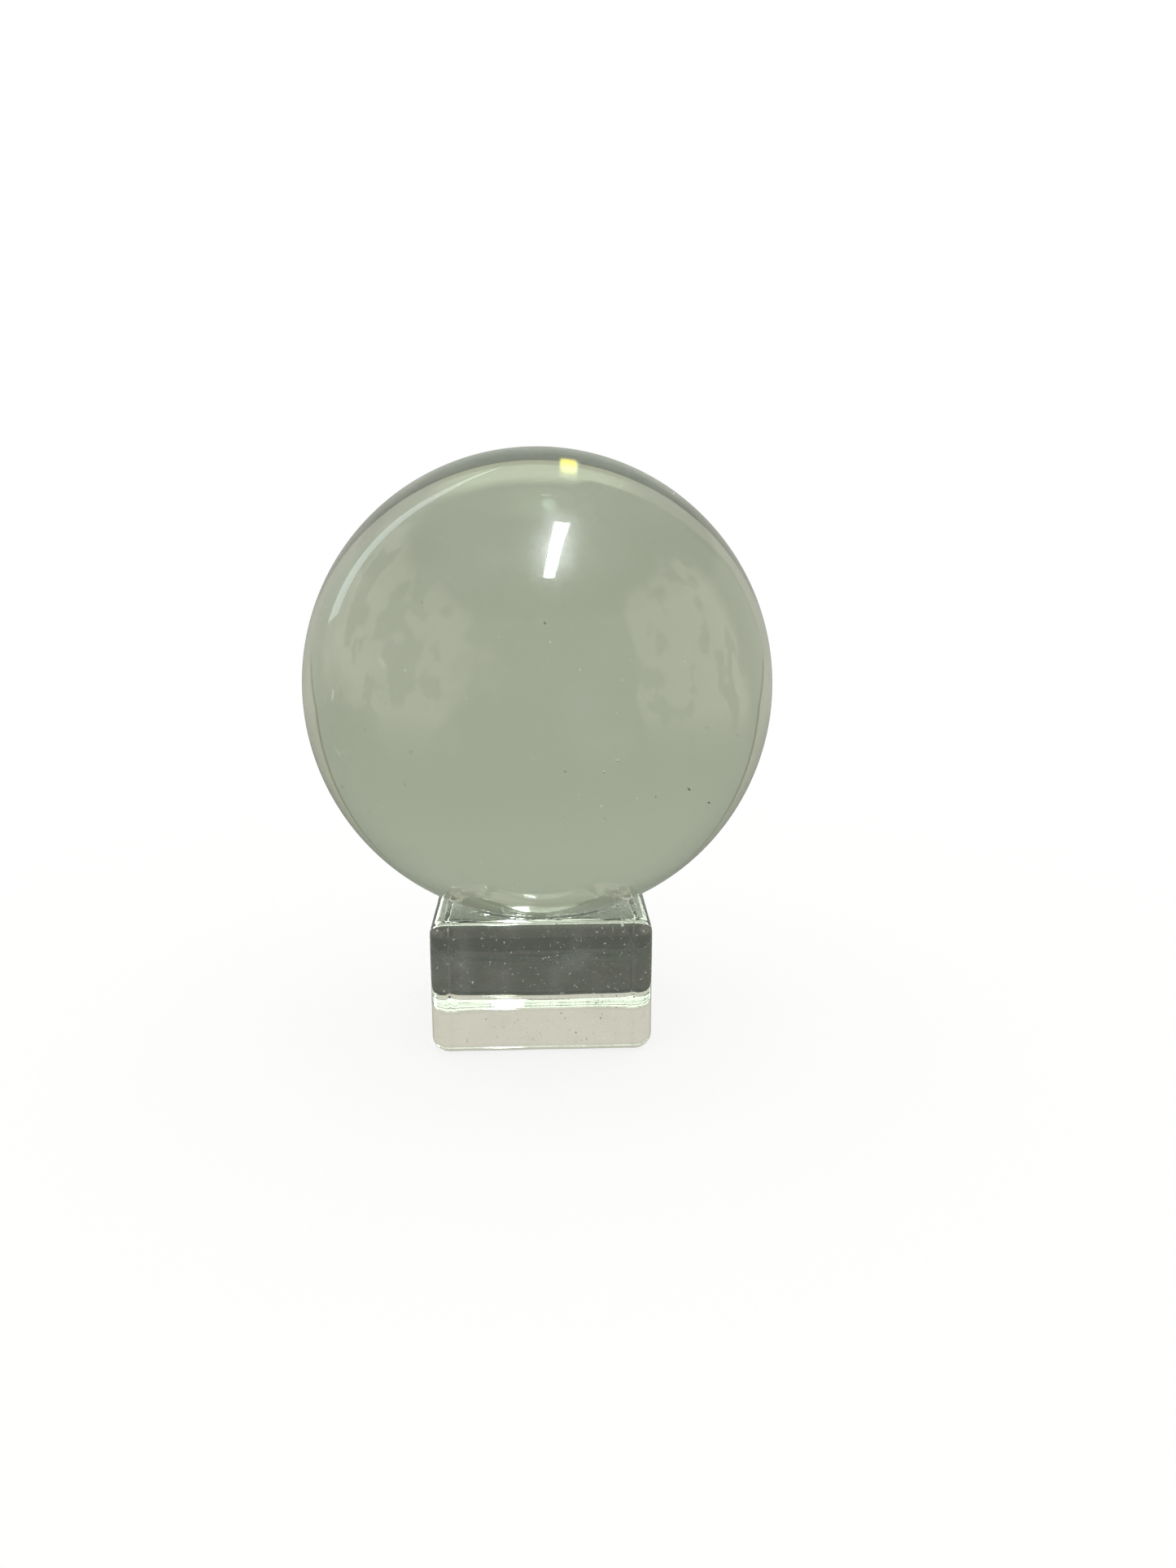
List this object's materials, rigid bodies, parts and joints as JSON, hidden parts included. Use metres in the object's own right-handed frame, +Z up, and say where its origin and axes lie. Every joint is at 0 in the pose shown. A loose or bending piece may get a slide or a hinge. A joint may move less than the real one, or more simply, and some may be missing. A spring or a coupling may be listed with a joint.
{
  "type": "crystal ball on stand",
  "caption": "Solid clear glass ball resting loose in the shallow round dish of a small square pressed-glass block with rounded edges.",
  "frame": {"origin": "on the table, under the middle of the stand's flat base", "axes": "+Z up from the base through the middle of the stand and the ball; +X and +Y square to the stand's side faces"},
  "size_m": [0.08, 0.08, 0.1001],
  "materials": {
    "ball_glass": "polished solid glass, clear with a faint grey-green cast, a few seeds and light scuffs",
    "stand_glass": "pressed and fire-polished clear glass, slightly wavy faces, a few seeds and edge nicks"
  },
  "bodies": {
    "stand": {"stand": "stand_glass"},
    "ball": {"ball": "ball_glass"}
  },
  "joints": [
    {"name": "ball_lift", "type": "slide", "parent": "stand", "child": "ball", "axis": [0, 0, 1], "range_m": [0, 0.06]}
  ]
}
